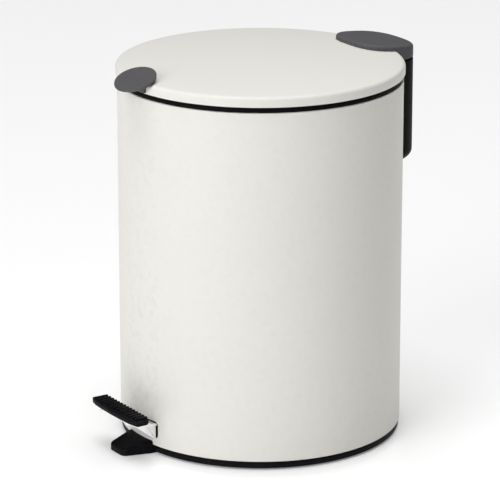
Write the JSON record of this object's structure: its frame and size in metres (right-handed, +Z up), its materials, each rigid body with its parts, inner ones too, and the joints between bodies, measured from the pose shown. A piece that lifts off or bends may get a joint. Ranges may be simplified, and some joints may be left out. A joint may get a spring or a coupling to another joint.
{
  "type": "pedal trash can",
  "caption": "Round pedal bin with a steel body, a domed lid on a rear hinge housing, an inner bucket with a bail, and a ribbed pedal that lifts the lid by a lever and push rod.",
  "frame": {"origin": "middle of the flat underside of the base moulding, on the floor", "axes": "+Z up along the body's axis, -Y towards the pedal, +Y towards the hinge housing, +X completes the right-handed frame"},
  "size_m": [0.2072, 0.2505, 0.2803],
  "materials": {
    "painted_steel": "warm off-white satin paint",
    "black_plastic": "fine matte black moulding",
    "cap_plastic": "fine matte charcoal moulding",
    "bucket_plastic": "satin dark grey moulding",
    "polished_chrome": "polished",
    "plain_steel": "bright zinc plate",
    "rubber": "soft matte black",
    "acetal": "natural off-white acetal"
  },
  "bodies": {
    "root": {"body_shell": "painted_steel", "base_moulding": "black_plastic", "foot_pad_1": "rubber", "foot_pad_2": "rubber", "foot_pad_3": "rubber", "foot_pad_4": "rubber", "rim_ring": "black_plastic", "inner_bucket": "bucket_plastic", "hinge_housing": "black_plastic", "housing_screw_left": "plain_steel", "housing_screw_right": "plain_steel", "hinge_pin": "plain_steel", "pivot_pin": "plain_steel", "rod_guide_lower": "acetal", "rod_guide_upper": "acetal"},
    "lid": {"lid_shell": "painted_steel", "lid_liner": "bucket_plastic", "lid_buffer_1": "rubber", "lid_buffer_2": "rubber", "lid_buffer_3": "rubber", "lid_buffer_4": "rubber", "front_tab": "cap_plastic", "hinge_cap": "cap_plastic", "cap_screw_left": "plain_steel", "cap_screw_right": "plain_steel", "hinge_arm": "plain_steel", "hinge_bush": "acetal", "lift_pin": "plain_steel"},
    "pedal": {"pedal_lever": "plain_steel", "lever_rivet_1": "plain_steel", "lever_rivet_2": "plain_steel", "lever_rivet_3": "plain_steel", "pedal_arm": "polished_chrome", "pedal_tread": "black_plastic", "tread_screw_1": "plain_steel", "tread_screw_2": "plain_steel"},
    "push_rod": {"push_rod": "plain_steel", "rod_shoe": "acetal"},
    "bail": {"bucket_bail": "plain_steel", "bail_grip": "black_plastic"}
  },
  "joints": [
    {"name": "lid_hinge", "type": "hinge", "parent": "root", "child": "lid", "pos_m": [0, 0.11355, 0.2527], "axis": [-1, 0, 0], "range_deg": [0, 80]},
    {"name": "pedal_pivot", "type": "hinge", "parent": "root", "child": "pedal", "pos_m": [0, -0.0452, 0.0124], "axis": [1, 0, 0], "range_deg": [0, 8.31]},
    {"name": "push_rod_slide", "type": "slide", "parent": "root", "child": "push_rod", "axis": [0, 0, 1], "range_m": [0, 0.0206]},
    {"name": "bail_swing", "type": "hinge", "parent": "root", "child": "bail", "pos_m": [0, 0, 0.2565], "axis": [1, 0, 0], "range_deg": [0, 5]}
  ],
  "couplings": [
    {"joint": "pedal_pivot", "follows": "lid_hinge", "ratio": 0.10375},
    {"joint": "push_rod_slide", "follows": "lid_hinge", "m_per_rad": 0.014731}
  ]
}
